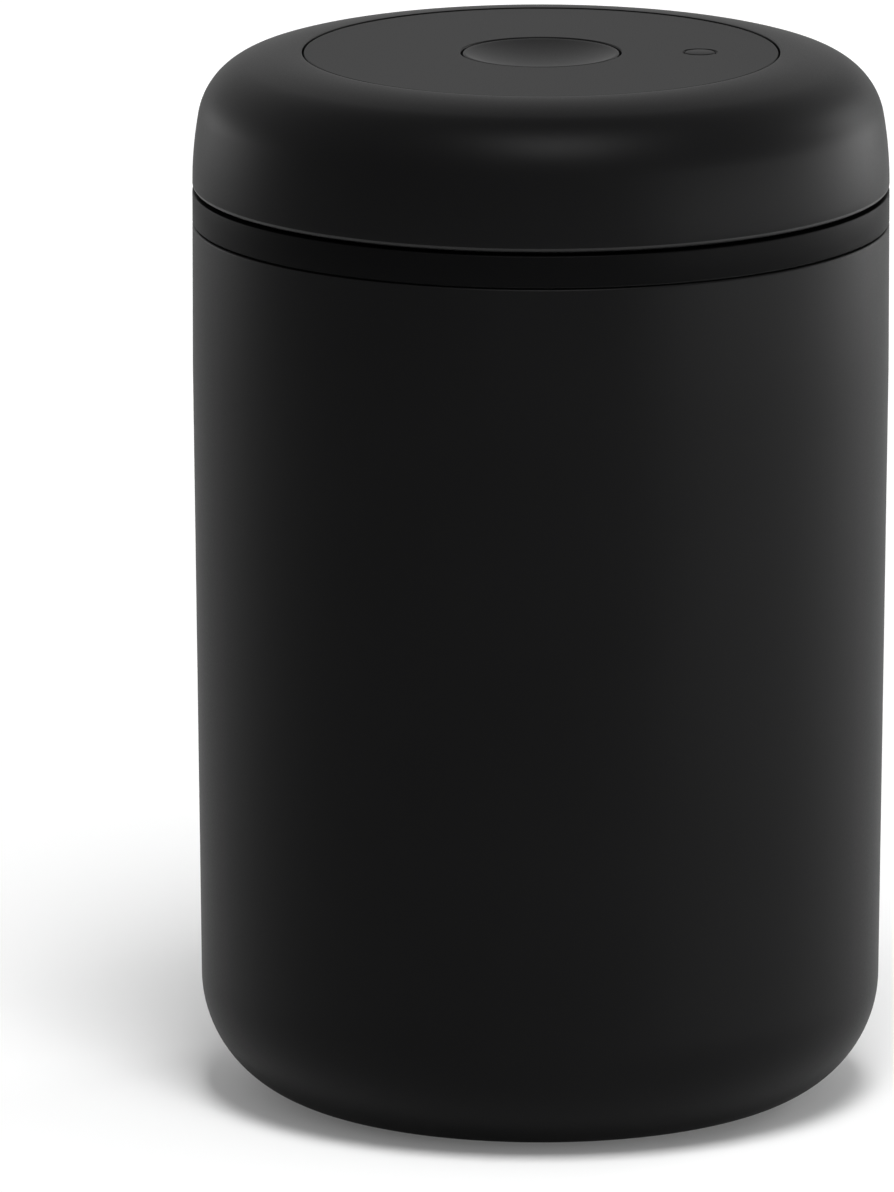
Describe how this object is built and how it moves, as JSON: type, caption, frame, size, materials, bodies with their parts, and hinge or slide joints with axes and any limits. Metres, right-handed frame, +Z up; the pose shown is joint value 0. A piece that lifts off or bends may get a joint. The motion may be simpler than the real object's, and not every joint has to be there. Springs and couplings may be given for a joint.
{
  "type": "coffee canister with valve",
  "caption": "Matt black steel coffee canister whose domed twist ring pumps air out of it, with a dished vacuum release button and a vacuum indicator in the lid's top disc.",
  "frame": {"origin": "centre of the base, on the surface that the canister stands on", "axes": "+Z up along the canister's axis; +X towards the vacuum indicator, the right of the picture; -Y towards the picture's viewer"},
  "size_m": [0.124, 0.124, 0.1893],
  "materials": {
    "steel_coat": "matt black powder coat outside, plain brushed steel inside",
    "lid_plastic": "fine satin moulded surface",
    "disc_plastic": "fine matt moulded surface",
    "button_plastic": "smooth satin",
    "seal_rubber": "soft food-grade silicone",
    "pump_plastic": "grey moulded plastic",
    "glide_plastic": "white low-friction plastic",
    "screw_steel": "plain stainless",
    "spring_steel": "drawn spring wire",
    "screen_steel": "fine woven stainless mesh",
    "signal_green": "plain green"
  },
  "bodies": {
    "canister": {"canister_body": "steel_coat"},
    "lid": {"lid_base": "lid_plastic", "body_gasket": "seal_rubber", "glide_ring": "glide_plastic", "pump_housing": "pump_plastic", "housing_seal": "seal_rubber", "housing_screws": "screw_steel", "inlet_valve": "seal_rubber", "filter_screen": "screen_steel", "filter_cover": "lid_plastic", "cover_screws": "screw_steel", "guide_tower": "glide_plastic", "tower_screws": "screw_steel", "top_disc": "disc_plastic", "disc_screws": "screw_steel", "indicator_collar": "signal_green", "stem_guide": "glide_plastic", "button_spring": "spring_steel", "indicator_spring": "spring_steel"},
    "twist": {"twist_ring": "lid_plastic", "cam_drum": "pump_plastic", "ring_screws": "screw_steel"},
    "pump": {"piston": "glide_plastic", "cam_pins": "screw_steel", "piston_outer_seal": "seal_rubber", "piston_inner_seal": "seal_rubber", "outlet_valve": "seal_rubber"},
    "button": {"release_button": "button_plastic", "valve_stem": "screw_steel", "valve_seal": "seal_rubber"},
    "indicator": {"indicator_pin": "button_plastic", "indicator_seal": "seal_rubber"}
  },
  "joints": [
    {"name": "lid_lift", "type": "slide", "parent": "canister", "child": "lid", "axis": [0, 0, 1], "range_m": [0, 0.06]},
    {"name": "ring_twist", "type": "hinge", "parent": "lid", "child": "twist", "pos_m": [0, 0, 0.165], "axis": [0, 0, 1], "range_deg": [0, 80]},
    {"name": "piston_slide", "type": "slide", "parent": "lid", "child": "pump", "axis": [0, 0, 1], "range_m": [0, 0.01]},
    {"name": "button_press", "type": "slide", "parent": "lid", "child": "button", "axis": [0, 0, -1], "range_m": [0, 0.0025], "stiffness_N_per_m": 600, "springref_m": -0.01, "deforming": ["button_spring"]},
    {"name": "indicator_drop", "type": "slide", "parent": "lid", "child": "indicator", "axis": [0, 0, -1], "range_m": [0, 0.0025], "stiffness_N_per_m": 300, "springref_m": -0.0015, "deforming": ["indicator_spring"]}
  ],
  "couplings": [
    {"joint": "piston_slide", "follows": "ring_twist", "m_per_rad": 0.0071619}
  ]
}
